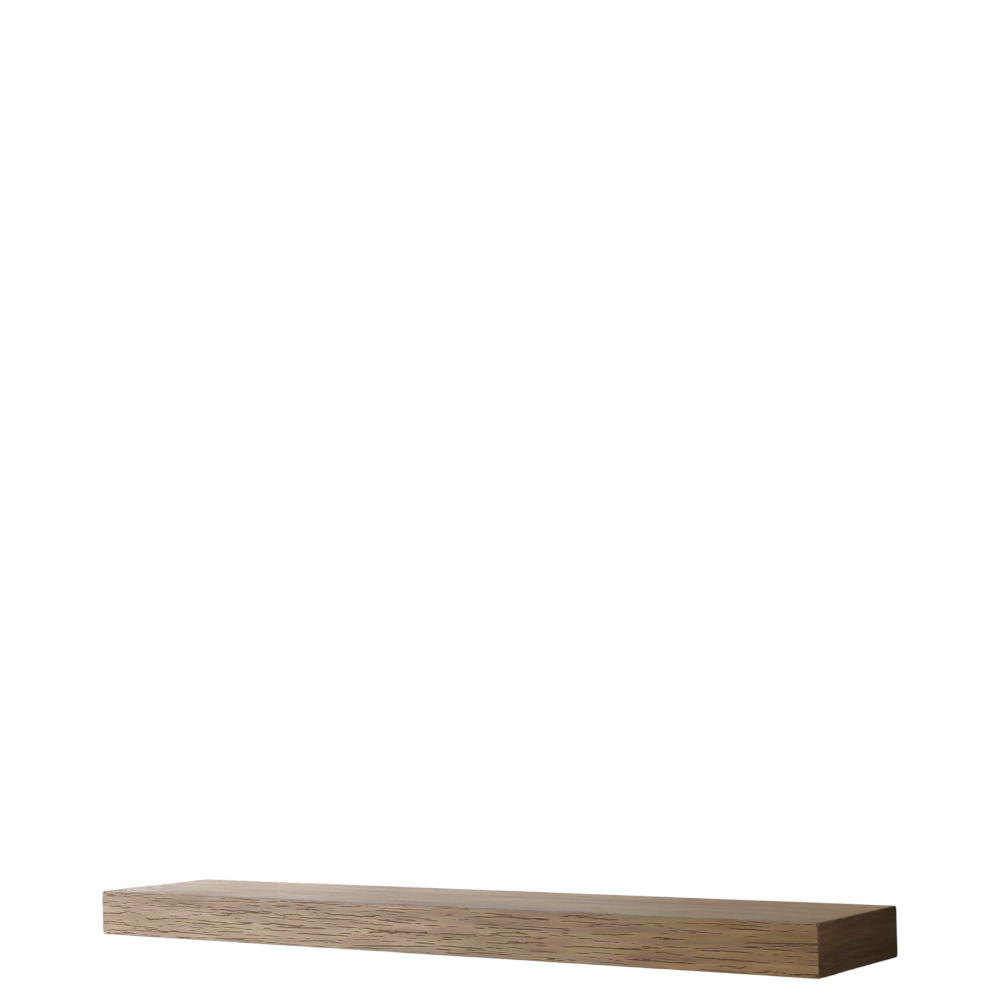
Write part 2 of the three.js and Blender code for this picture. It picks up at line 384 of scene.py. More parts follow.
# Stage: a pale floor far below the shelf, a white surround and soft lamps
stage = {
    "floorLevel": -1.3,
    "floorSize": 7.5,
    "floorSides": 64,
    "floorGlow": (0.80, 1.0),
    "glowReach": (1.2, 4.5),
    "floorColour": "#e9e8e6",
    "ambientColour": "#ffe9d6",
    "ambientStrength": 0.04,
}

# each lamp: place, point it looks at, width and height of its panel, and watts; the cards shine
# only in the gloss of the boards, as white cards do that stand by the work for their reflection
panels = {
    "keyPanel": ((-0.80, -1.40, 0.30), (-0.15, -0.1, 0.0), 0.9, 0.8, 24.1),
    "overPanel": ((0.0, 0.30, 1.40), (0.0, -0.1, 0.0), 0.9, 0.8, 14.1),
    "endPanel": ((0.85, -0.50, 0.10), (0.457, -0.14, 0.0), 0.2, 0.2, 0.32),
    "underPanel": ((0.0, 0.15, -1.00), (0.0, -0.05, 0.0), 0.8, 0.8, 3.6),
    "backPanel": ((0.0, 1.20, -0.15), (0.0, 0.0, 0.0), 0.8, 0.5, 4.5),
}
cards = {
    "leftCard": ((-0.6775, -0.444, -0.12), (-0.45, -0.178, 0.0), 0.325, 0.325, 14.6),
    "frontCard": ((-0.2275, -0.444, -0.12), (0.0, -0.178, 0.0), 0.325, 0.325, 10.4),
    "rearCard": ((-0.739, 0.278, 0.1425), (-0.40, -0.09, 0.025), 0.4, 0.25, 2.9),
    "farCard": ((-0.58, 0.725, 0.23), (0.0, -0.09, 0.025), 0.6, 0.4, 5.2),
    "wallCard": ((-0.75, 0.05, 0.20), (-0.75, -0.3, 0.1), 0.3, 0.3, 1.2),
}
boardsOnly = bpy.data.collections.new("boardsOnly")  # what the cards shine on


def whiteRay(tree):
    # 1 for rays that see the background: camera, glossy and transmission rays
    path = put(tree, "LightPath").node.outputs
    seen = calc("MAXIMUM", path["Is Camera Ray"], path["Is Glossy Ray"])
    return calc("MAXIMUM", seen, path["Is Transmission Ray"])


def floorMaterial():
    # matt white paper: mostly its own white to the eye, with a diffuse part that takes the shadow
    material, spot = newMaterial("paperFloor")
    tree = spot.id_data
    matt = put(tree, "BsdfDiffuse", {"Color": stage["floorColour"]})
    away = vector("LENGTH", spot).node.outputs["Value"]
    rise = ranged(away, *stage["glowReach"], *stage["floorGlow"], interpolation_type="SMOOTHSTEP")
    both = put(tree, "AddShader", {0: matt, 1: put(tree, "Emission", {"Strength": rise})})
    lit = put(tree, "MixShader", {0: whiteRay(tree), 1: matt, 2: both})
    back = put(tree, "NewGeometry", output="Backfacing")
    sided = put(tree, "MixShader", {0: back, 1: lit, 2: put(tree, "BsdfTransparent")})
    put(tree, "OutputMaterial", {"Surface": sided})
    return material


def addLamp(name, place, aim, width, height, watts):
    data = bpy.data.lights.new(name, "AREA")
    data.shape = "RECTANGLE"
    data.size = width
    data.size_y = height
    data.energy = watts
    lamp = bpy.data.objects.new(name, data)
    bpy.context.scene.collection.objects.link(lamp)
    lamp.visible_camera = False
    lamp.location = place
    lamp.rotation_euler = (Vector(aim) - Vector(place)).to_track_quat("-Z", "Y").to_euler()
    return lamp


def addStage():
    bpy.ops.mesh.primitive_circle_add(vertices=stage["floorSides"], radius=stage["floorSize"],
                                      fill_type="NGON", location=(0, 0, stage["floorLevel"]))
    floor = bpy.context.object
    floor.name = "floor"
    dress(floor, floorMaterial())
    world = bpy.data.worlds.new("studio")
    bpy.context.scene.world = world
    world.use_nodes = True
    tree = world.node_tree
    tree.nodes.clear()
    ambient = put(tree, "Background",
                  {"Color": stage["ambientColour"], "Strength": stage["ambientStrength"]})
    white = put(tree, "Background", {"Color": "#ffffff", "Strength": 1.0})
    both = put(tree, "MixShader", {0: whiteRay(tree), 1: ambient, 2: white})
    put(tree, "OutputWorld", {"Surface": both})
    for name, values in panels.items():
        addLamp(name, *values)
    for name, values in cards.items():
        card = addLamp(name, *values)
        card.data.cycles.use_multiple_importance_sampling = False
        card.visible_diffuse = False
        card.light_linking.receiver_collection = boardsOnly
    bpy.context.scene.view_settings.view_transform = "Standard"


addStage()
print("stage and lamps placed")


# The oak box: five mitred boards, worn round at the arrises and opened by drying checks

# each board: normal axis and side, grain axis, axis across the grain
boards = {
    "front_panel": (1, -1, 0, 2),
    "top_panel": (2, 1, 0, 1),
    "bottom_panel": (2, -1, 0, 1),
    "left_end_panel": (0, -1, 1, 2),
    "right_end_panel": (0, 1, 1, 2),
}
boxLow = np.min([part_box(name)[0] for name in boards], axis=0)
boxHigh = np.max([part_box(name)[1] for name in boards], axis=0)

board = {
    "thickness": 10 * mm,
    "glueGap": 0.05 * mm,
    "arris": 1.9 * mm,
    "arrisSpread": 0.6 * mm,
    "arrisCell": 38 * mm,
    "cornerExtra": 1.8 * mm,
    "cornerReach": 9 * mm,
    "endShare": 0.6,
    "endReach": (4 * mm, 12 * mm),
    "rearRadius": 2.6 * mm,
    "undulation": 0.22 * mm,
    "undulationCell": (90 * mm, 24 * mm, 17 * mm),
    "alongPitch": 3.1 * mm,
    "frontAlongPitch": 1.55 * mm,
    "acrossPitch": 0.6 * mm,
    "frontPitch": 0.36 * mm,
    "arrisPitch": 0.4 * mm,
    "arrisReach": 3.2 * mm,
    "smoothAngle": 50,
    "fullChip": 0.5 * mm,
    "endChipMark": 0.25,
    "checkPaling": 0.75,
}


def stations(low, high, pitch, finePitch, fineLow, fineHigh):
    # places along one axis, closer together near the ends that carry an arris
    reach = board["arrisReach"]
    start = low + (reach if fineLow else 0)
    end = high - (reach if fineHigh else 0)
    middle = np.linspace(start, end, int(round((end - start) / pitch)) + 1)
    fineCount = int(round(reach / finePitch))
    before = np.linspace(low, start, fineCount + 1)[:-1] if fineLow else []
    after = np.linspace(end, high, fineCount + 1)[1:] if fineHigh else []
    return np.concatenate([before, middle, after])


frontPlaces = stations(boxLow[0], boxHigh[0], board["frontAlongPitch"], board["arrisPitch"], True, True)
places = [
    stations(boxLow[0], boxHigh[0], board["alongPitch"], board["arrisPitch"], True, True),
    stations(boxLow[1], boxHigh[1], board["acrossPitch"], board["arrisPitch"], True, False),
    stations(boxLow[2], boxHigh[2], board["frontPitch"], board["frontPitch"], True, True),
]

# drying checks: rows of long tapered splits along the grain, some stepped, and short ones between;
# the share that is kept and the width go from left to right, and one stretch may be wider
checkStyles = {
    "front_panel": {"seed": 11, "rowPitch": 4.1, "keep": (0.97, 0.66), "depth": 0.8,
                    "width": (1.04, 0.88), "wideStretch": (-0.13, 0.11, 0.25)},
    "top_panel": {"seed": 12, "rowPitch": 6.2, "keep": (0.8, 0.8), "depth": 0.5, "width": (1.1, 1.1)},
    "bottom_panel": {"seed": 13, "rowPitch": 6.2, "keep": (0.8, 0.8), "depth": 0.5, "width": (1.1, 1.1)},
    "left_end_panel": {"seed": 14, "rowPitch": 7.5, "keep": (0.14, 0.14), "depth": 0.3,
                       "width": (0.5, 0.5)},
    "right_end_panel": {"seed": 15, "rowPitch": 7.5, "keep": (0.08, 0.08), "depth": 0.3,
                        "width": (0.5, 0.5)},
}

# what each check is drawn from, lengths in mm; at a step the ends pass each other by up to the
# overlap, or stay as far apart
checkDraw = {
    "lead": (0, 50),
    "longShare": 0.62,
    "long": (20, 85),
    "longSkew": 1.5,
    "short": (3, 16),
    "gap": (2, 25),
    "steppedFrom": 22,
    "steppedShare": 0.75,
    "stepCount": (2, 5),
    "stepRise": (0.5, 1.25),
    "stepPlace": (0.08, 0.92),
    "stepOverlap": 1.8,
    "offRow": (-2.1, 2.1),
    "edgeRoom": 2.2,
    "tilt": 0.022,
    "wave": (0.05, 0.25),
    "wavelength": (14, 40),
    "width": (0.65, 1.15),
    "shortWidth": 0.9,
    "depth": (0.6, 1.1),
    # strengths of the painted highlight on the pale lip either side of a check
    "upperLipHighlight": (0.0, 1.0),
    "lowerLipHighlight": (0.2, 1.0),
    "fewer": (0.0, 0.45),
    "finer": (-0.02, 0.16),
}


def splitAtSteps(check, steps):
    # a stepped check is a row of straighter splits, each at its own level
    ends = [0.0, *sorted(place for place, rise in steps), 1.0]
    most = checkDraw["stepOverlap"] * mm
    overlap = most * math.cos(check["phase"])
    splits = []
    for first, last in zip(ends, ends[1:]):
        start = check["start"] + first * check["length"] - (overlap if first > 0 else 0)
        end = check["start"] + last * check["length"] + (overlap if last < 1 else 0)
        rise = sum(rise for place, rise in steps if place <= first)
        shift = (start + end) / 2 - check["start"] - check["length"] / 2
        if end > start + overlap + most:
            splits.append({**check, "start": start, "length": end - start,
                           "centre": check["centre"] + rise + check["tilt"] * shift})
    return splits


def drawChecks(name):
    # a list of checks on one board, each with its ends, line, width and depth
    style = checkStyles[name]
    _, _, grainAxis, acrossAxis = boards[name]
    low, high = boxLow[grainAxis], boxHigh[grainAxis]
    acrossLow, acrossHigh = boxLow[acrossAxis], boxHigh[acrossAxis]
    draw = np.random.default_rng(style["seed"])
    rows = int(round((acrossHigh - acrossLow) / (style["rowPitch"] * mm)))
    pitch = (acrossHigh - acrossLow) / rows
    keepLeft, keepRight = style["keep"]
    widthLeft, widthRight = style["width"]
    middle, half, wider = style.get("wideStretch", (0, 1, 0))
    shortest, more = checkDraw["long"]

    def drawn(key):
        return draw.uniform(*checkDraw[key])

    checks = []
    for row in range(rows):
        along = low - drawn("lead") * mm
        while along < high:
            isLong = draw.random() < checkDraw["longShare"]
            if isLong:
                length = (shortest + more * draw.random() ** checkDraw["longSkew"]) * mm
            else:
                length = drawn("short") * mm
            gap = drawn("gap") * mm
            steps = []
            level = acrossLow + (row + 0.5) * pitch
            if length > checkDraw["steppedFrom"] * mm and draw.random() < checkDraw["steppedShare"]:
                for _ in range(draw.integers(*checkDraw["stepCount"])):
                    rise = draw.choice([-1, 1]) * drawn("stepRise") * mm
                    steps.append((drawn("stepPlace"), rise))
            check = {
                "start": along,
                "length": length,
                "centre": min(level + drawn("offRow") * mm, acrossHigh - checkDraw["edgeRoom"] * mm),
                "tilt": draw.normal(0, checkDraw["tilt"]),
                "wave": drawn("wave") * mm,
                "wavelength": drawn("wavelength") * mm,
                "phase": draw.uniform(0, math.tau),
                "width": drawn("width") * widthLeft * mm * (1.0 if isLong else checkDraw["shortWidth"]),
                "depth": drawn("depth") * style["depth"] * mm,
                "lipHighlights": (drawn("upperLipHighlight"), drawn("lowerLipHighlight")),
            }
            keep = keepLeft + (keepRight - keepLeft) * eased(along, *checkDraw["fewer"])
            check["width"] *= 1 + (widthRight / widthLeft - 1) * eased(along, *checkDraw["finer"])
            check["width"] *= 1 + wider * eased(1 - abs(along - middle) / half, 0, 0.5)
            if draw.random() < keep:
                checks += splitAtSteps(check, steps)
            along += length + gap
    return checks


allChecks = {name: drawChecks(name) for name in boards}
print("checks drawn:", {name: len(checks) for name, checks in allChecks.items()})


def checkLine(check, along):
    # the middle of a check across the grain, at each place along it
    line = check["centre"] + check["tilt"] * (along - check["start"] - check["length"] / 2)
    return line + check["wave"] * np.sin(math.tau * along / check["wavelength"] + check["phase"])


# how a check opens: it keeps its width until near its ends, its edges are ragged in two lengths,
# and a painted highlight runs beside it as a pale lip; lengths in mm
checkShape = {
    "closed": 0.12,
    "taper": 0.16,
    "ragged": 0.22,
    "raggedLengths": (2.7, 7.3),
    "halfExtra": 0.16,
    "margin": 1.2,
    "hollow": 0.8,
    "darkFrom": 0.45,
    "lipAway": 0.4,
    "lipHalf": 0.65,
}


def stampChecks(name, grainPlaces, acrossPlaces):
    # depth of the splits in metres, their painted shade and painted lip highlights, on the board's grid
    depth = np.zeros((len(acrossPlaces), len(grainPlaces)))
    dark = np.zeros_like(depth)
    lipHighlight = np.zeros_like(depth)
    fineLength, longLength = checkShape["raggedLengths"]
    for check in allChecks[name]:
        first, last = np.searchsorted(grainPlaces, [check["start"], check["start"] + check["length"]])
        if last - first < 1:
            continue
        along = grainPlaces[first:last]
        share = (along - check["start"]) / check["length"]
        taper = np.clip(np.sin(math.pi * share), checkShape["closed"], 1) ** checkShape["taper"]
        uneven = np.sin(along / (fineLength * mm) + check["phase"]) * np.sin(along / (longLength * mm))
        uneven = 1 + checkShape["ragged"] * uneven
        half = check["width"] / 2 * taper * uneven + checkShape["halfExtra"] * mm
        line = checkLine(check, along)
        margin = check["width"] + checkShape["margin"] * mm
        top, end = np.searchsorted(acrossPlaces, [line.min() - margin, line.max() + margin])
        offset = acrossPlaces[top:end, None] - line[None, :]
        near = np.clip(1 - np.abs(offset) / half[None, :], 0, 1)
        area = (slice(top, end), slice(first, last))
        depth[area] = np.maximum(depth[area], check["depth"] * near ** checkShape["hollow"])
        # painted shade inside the check
        dark[area] = np.maximum(dark[area], eased(near, 0.0, checkShape["darkFrom"]))
        # a painted highlight in a band beside the check, as its pale lip
        fromLip = np.abs(offset) - half[None, :] - checkShape["lipAway"] * mm
        beside = np.clip(1 - np.abs(fromLip) / (checkShape["lipHalf"] * mm), 0, 1)
        strength = np.where(offset > 0, *check["lipHighlights"])
        lipHighlight[area] = np.maximum(lipHighlight[area], beside * strength)
    return depth, dark, lipHighlight


# knocks and chips along the arrises: how many, their length along the arris, their depth, and
# their reach across it, in mm
chipReach = (0.6, 1.4)
arrisChips = {
    "frontTop": {"seed": 21, "count": 46, "size": (2.0, 9.0), "depth": (0.12, 0.5)},
    "frontBottom": {"seed": 22, "count": 40, "size": (2.0, 9.0), "depth": (0.25, 0.9)},
    "endTop": {"seed": 23, "count": 14, "size": (1.5, 6.0), "depth": (0.2, 0.7)},
    "endBottom": {"seed": 24, "count": 14, "size": (1.5, 6.0), "depth": (0.2, 0.7)},
    "upright": {"seed": 25, "count": 14, "size": (0.7, 2.0), "depth": (0.4, 1.0)},
}

# the mouth of a front check that runs out over an upright arris
checkMouth = {
    "near": 2 * mm,
    "reach": np.array([1.6, 1.6, 0.7]) * mm,
    "leftDepth": 0.3 * mm,
    "rightDepth": 0.7 * mm,
}


def drawChips():
    chips = []

    def scatter(style, axis, fixed):
        draw = np.random.default_rng(style["seed"] + int(fixed.get(0, 0) > 0))
        for _ in range(style["count"]):
            centre = np.array([fixed.get(a, 0.0) for a in range(3)])
            centre[axis] = draw.uniform(boxLow[axis], boxHigh[axis])
            reach = np.full(3, draw.uniform(*chipReach) * mm)
            reach[axis] = draw.uniform(*style["size"]) * mm
            chips.append((centre, reach, draw.uniform(*style["depth"]) * mm))

    scatter(arrisChips["frontTop"], 0, {1: boxLow[1], 2: boxHigh[2]})
    scatter(arrisChips["frontBottom"], 0, {1: boxLow[1], 2: boxLow[2]})
    for end in (boxLow[0], boxHigh[0]):
        scatter(arrisChips["endTop"], 1, {0: end, 2: boxHigh[2]})
        scatter(arrisChips["endBottom"], 1, {0: end, 2: boxLow[2]})
        scatter(arrisChips["upright"], 2, {0: end, 1: boxLow[1]})
    # where a front check runs out over an upright arris, its mouth breaks away
    for check in allChecks["front_panel"]:
        for end, edge in ((check["start"], boxLow[0]), (check["start"] + check["length"], boxHigh[0])):
            near = checkMouth["near"]
            runsOut = end < edge + near if edge < 0 else end > edge - near
            if runsOut:
                height = float(checkLine(check, np.array([edge]))[0])
                depth = checkMouth["leftDepth"] if edge < 0 else checkMouth["rightDepth"]
                chips.append((np.array([edge, boxLow[1], height]), checkMouth["reach"], depth))
    return chips


chips = drawChips()

# pale wear, partly painted highlight: a thin line along each arris, and longer rubbed and highlit
# stretches of the front top arris, each with its middle and half length along x and its strength
rimWearAndHighlight = {"frontTop": 0.55, "upright": 0.0, "other": 0.04, "reach": 1.7 * mm}
wearAndHighlightNoise = {
    "raggedCell": (14 * mm, 5 * mm, 4 * mm),
    "patchyCell": (70 * mm, 40 * mm, 40 * mm),
    "raggedShare": 0.4,
    "span": (-0.9, 0.5),
}
# how far the rubbed and highlit stretches reach down the front and in over the top, with how much
# the noise changes that, in mm, and their share of the strength
rubbedAndHighlitReach = {"front_panel": (2.4, 1.6, 0.7), "top_panel": (20, 10, 0.45), "least": 0.8}
rubbedAndHighlitStretches = ((-0.24, 0.07, 0.8), (-0.15, 0.05, 0.9), (-0.06, 0.055, 0.9), (0.014, 0.022, 0.8),
                   (0.075, 0.03, 0.25), (0.255, 0.085, 0.28))


def wornBoard(name, flat):
    # moves points of the sharp box surface on to the worn one; returns them with their normals,
    # how far round the arris they lie, and how chipped they are
    normalAxis, side, grainAxis, acrossAxis = boards[name]
    face = boxHigh[normalAxis] if side > 0 else boxLow[normalAxis]
    radius = board["arris"] + board["arrisSpread"] * softNoise(flat, board["arrisCell"], 31)
    fromEnd, _, fromFlat = np.minimum(flat - boxLow, boxHigh - flat).T
    fromCorner = np.maximum.reduce([fromEnd, flat[:, 1] - boxLow[1], fromFlat])
    radius *= board["endShare"] + (1 - board["endShare"]) * eased(fromEnd, *board["endReach"])
    radius += board["cornerExtra"] * (1 - eased(fromCorner, 0, board["cornerReach"]))
    normals = np.zeros_like(flat)
    normals[:, normalAxis] = side
    turns = []
    for axis in (grainAxis, acrossAxis):
        for edgeSide, edge in ((-1, boxLow[axis]), (1, boxHigh[axis])):
            if axis == 1 and edgeSide > 0:
                continue  # the rear edge isn't worn; it is rounded off below
            turn = np.clip(1 - np.abs(edge - flat[:, axis]) / radius, 0, 1)
            normals[:, axis] += edgeSide * turn
            turns.append((axis, edgeSide, edge, turn))
    normals /= np.linalg.norm(normals, axis=1)[:, None]
    moved = flat.copy()
    for axis, edgeSide, edge, turn in turns:
        curved = edge - edgeSide * radius + radius * normals[:, axis] - edgeSide * board["glueGap"] * turn
        moved[:, axis] = np.where(turn > 0, curved, moved[:, axis])
    moved[:, normalAxis] = face - side * radius + radius * normals[:, normalAxis]
    round_ = np.max([turn for _, _, _, turn in turns], axis=0)
    chipped = np.zeros(len(flat))
    for centre, reach, depth in chips:
        close = np.all(np.abs(flat - centre) < 3 * reach, axis=1)
        if close.any():
            away = (flat[close] - centre) / reach
            chipped[close] = np.maximum(chipped[close], depth * np.exp(-np.sum(away ** 2, axis=1)))
    hollow = board["undulation"] * (0.5 + 0.5 * softNoise(flat, board["undulationCell"], 32))
    moved -= normals * (chipped + hollow)[:, None]
    # the long rear edges, above and below, are rounded off towards the wall
    rounding = board["rearRadius"]
    inward = np.clip(boxHigh[1] - flat[:, 1], 0, rounding)
    drop = rounding - np.sqrt(rounding ** 2 - (rounding - inward) ** 2)
    middle = (boxLow[2] + boxHigh[2]) / 2
    height = (flat[:, 2] - middle) / (boxHigh[2] - middle)
    moved[:, 2] -= np.sign(height) * drop * eased(np.abs(height), 0.6, 1.0)
    return moved, normals, round_, chipped


def wearAndHighlightOf(flat, name):
    # how worn each point is, with the painted highlight that lies on the worn arrises, from 0 to 1
    _, _, grainAxis, acrossAxis = boards[name]
    ragged = softNoise(flat, wearAndHighlightNoise["raggedCell"], 33)
    patchy = softNoise(flat, wearAndHighlightNoise["patchyCell"], 34)
    uneven = eased(patchy + wearAndHighlightNoise["raggedShare"] * ragged, *wearAndHighlightNoise["span"])
    frontTop = {"front_panel": (2, boxHigh[2]), "top_panel": (1, boxLow[1])}.get(name)
    wearAndHighlight = np.zeros(len(flat))
    for axis in (grainAxis, acrossAxis):
        for edge in (boxLow[axis], boxHigh[axis]):
            isUpright = name != "top_panel" and name != "bottom_panel" and axis == grainAxis
            kind = "frontTop" if (axis, edge) == frontTop else "upright" if isUpright else "other"
            if axis == 1 and edge == boxHigh[1]:
                kind = "upright"
            away = (flat[:, axis] - edge) / rimWearAndHighlight["reach"]
            wearAndHighlight = np.maximum(wearAndHighlight, rimWearAndHighlight[kind] * np.exp(-away ** 2) * uneven)
    if frontTop:
        edgeAxis, edge = frontTop
        down = np.abs(flat[:, edgeAxis] - edge)
        reach, change, share = rubbedAndHighlitReach[name]
        reach = (reach + change * (ragged if name == "front_panel" else patchy)) * mm
        fall = np.exp(-(down / np.maximum(reach, rubbedAndHighlitReach["least"] * mm)) ** 2)
        for middle, half, strength in rubbedAndHighlitStretches:
            stretch = eased(1 - np.abs(flat[:, 0] - middle) / half, 0, 0.5)
            wearAndHighlight = np.maximum(wearAndHighlight, share * strength * stretch * fall)
    return np.clip(wearAndHighlight, 0, 1)


def makeBoard(name, material):
    normalAxis, side, grainAxis, acrossAxis = boards[name]
    grainPlaces = frontPlaces if name == "front_panel" else places[grainAxis]
    acrossPlaces = places[acrossAxis]
    grainCells, acrossCells = len(grainPlaces) - 1, len(acrossPlaces) - 1
    piece = shape(bpy.ops.mesh.primitive_grid_add, x_subdivisions=grainCells,
                  y_subdivisions=acrossCells, size=1)
    piece.name = name.replace("panel", "board")
    mesh = piece.data
    grid = readPoints(piece)
    count = len(grid)
    column = np.rint((grid[:, 0] + 0.5) * grainCells).astype(int)
    line = np.rint((grid[:, 1] + 0.5) * acrossCells).astype(int)
    flat = np.zeros((count, 3))
    flat[:, grainAxis] = grainPlaces[column]
    flat[:, acrossAxis] = acrossPlaces[line]
    flat[:, normalAxis] = boxHigh[normalAxis] if side > 0 else boxLow[normalAxis]
    writePoints(piece, flat)
    # the mitred flanks: the rim is extruded inwards and drawn in by the board's thickness
    thick = board["thickness"]
    inward = Vector((0, 0, 0))
    inward[normalAxis] = -side * thick
    shrink = [1.0, 1.0, 1.0]
    centre = [0.0, 0.0, 0.0]
    for axis in (grainAxis, acrossAxis):
        span = boxHigh[axis] - boxLow[axis]
        isDepth = axis == 1
        shrink[axis] = (span - (thick if isDepth else 2 * thick)) / span
        centre[axis] = boxHigh[axis] if isDepth else (boxLow[axis] + boxHigh[axis]) / 2
    openMesh()
    bpy.ops.mesh.region_to_loop()
    bpy.ops.mesh.extrude_region_move(TRANSFORM_OT_translate={"value": inward})
    bpy.ops.transform.resize(value=shrink, center_override=centre)
    bpy.ops.mesh.edge_face_add()
    bpy.ops.mesh.select_all(action="SELECT")
    bpy.ops.mesh.normals_make_consistent(inside=False)
    closeMesh()
    # the worn outer face
    moved, normals, turned, chipped = wornBoard(name, flat)
    depth, dark, lipHighlight = stampChecks(name, grainPlaces, acrossPlaces)
    fade = 1 - turned
    moved -= normals * (depth[line, column] * fade)[:, None]
    points = readPoints(piece)
    points[:count] = moved
    writePoints(piece, points)
    chipShare = board["endChipMark"] if normalAxis == 0 else 1.0
    # painted shade in the checks, painted highlight on their lips, wear with painted highlight on the
    # arrises, and pale chips
    marks = {
        "checkPaintedShade": dark[line, column] * (1 - board["checkPaling"] * turned),
        "lipHighlight": lipHighlight[line, column] * fade,
        "wearAndHighlight": wearAndHighlightOf(flat, name),
        "chip": np.clip(chipped / board["fullChip"], 0, 1) * chipShare,
    }
    for mark, values in marks.items():
        attribute = mesh.attributes.new(mark, "FLOAT", "POINT")
        full = np.zeros(len(mesh.vertices), np.float32)
        full[:count] = values
        attribute.data.foreach_set("value", full)
    mesh.update()
    finishPiece(piece, "shelf", name, material, board["smoothAngle"])
    boardsOnly.objects.link(piece)
    print("board made:", piece.name, len(mesh.polygons), "faces")
    return piece


# Weathered oak: brushed, fumed and oiled to a matt finish, so soft earlywood stands back between paler
# ribs, pores are open, the tone drifts between ochre and pink, and a painted grey sheen lies towards the
# left end.
# The marks are strength and colour, laid on in this order; the painted highlights of the lips and the wear
# are broken up by flakes
oak = {
    "pinkColours": ("#80604a", "#896a52", "#8f7058", "#967962"),
    "oliveColours": ("#7d6141", "#846a48", "#89714e", "#907c59"),
    "patchStops": (0.34, 0.45, 0.55, 0.67),
    "swayScale": 7.0,
    "sway": (0.0, 0.012, 0.012),
    "broad": 0.20,
    "fine": 0.15,
    "fineSize": (120, 1.3),
    "pores": ((15, 1.0), 2.0, 0.5, 0.60, 0.70, 1.0, 0.74),
    "paleRays": ((80, 1.1), 2.0, 0.5, 0.60, 0.74, 1.0, 1.25),
    # the lips are painted highlight, the wear is partly painted highlight, and the checks are painted
    # shade
    "marks": {
        "lipHighlight": (0.6, "#cbb592"),
        "wearAndHighlight": (0.8, "#a8a3ab"),
        "chip": (0.55, "#bfae98"),
        "checkPaintedShade": (0.94, "#5a3b22"),
    },
    "flakes": {"lipHighlight": (0.35, 0.55, 0.3, 1.0), "wearAndHighlight": (0.38, 0.60, 0.45, 1.15)},
    "flakeSize": (5.0, 2.2, 2.2),
    "bumpDepth": 0.25 * mm,
}

# what differs between the front, the flat boards and the ends: grain direction, place in the log,
# sizes of the patches and streaks in mm, contrast, how much stronger the streaks grow along the
# board, tone from the low to the high side of one axis, which is painted light from above on the
# ends and makes the front lighter towards the bottom and the flat boards towards the back, painted
# light at both ends of the grain, a grey sheen at the left of the front and flat boards and a brighter
# front edge on the ends, and gloss
oakFaces = {
    "name": ("weatheredOakFront", "weatheredOakFlat", "weatheredOakEnd"),
    "grainAxis": (0, 0, 1),
    "shift": ((0.0, 0.0, 0.0), (0.17, 0.03, 0.05), (0.3, 0.1, 0.2)),
    "patchSize": ((85, 11), (160, 32), (85, 11)),
    "hueSize": ((60, 7), (150, 32), (60, 7)),
    "hueSpan": ((0.38, 0.62), (0.20, 0.80), (0.40, 0.60)),
    "streakSize": ((300, 9), (420, 15), (400, 12)),
    "contrast": (1.0, 0.52, 1.25),
    "swell": ((0.8, 1.5), (0.9, 1.6), (1.0, 1.0)),
    # tone is painted light from above on the ends; the two colours at the ends of the grain are painted
    # light
    "tone": ((2, 1.11, 0.96), (1, 0.92, 1.08), (2, 0.80, 1.24)),
    "lowEndPaintedLight": ((0.96, 1.01, 1.12), (0.93, 0.98, 1.14), (1.22, 1.08, 1.08)),
    "highEndPaintedLight": ((1.05, 0.975, 0.76), (0.94, 0.97, 1.02), (0.86, 0.86, 0.96)),
    "specular": (0.10, 0.10, 0.03),
    "roughness": ((0.60, 0.70), (0.67, 0.77), (0.75, 0.85)),
}


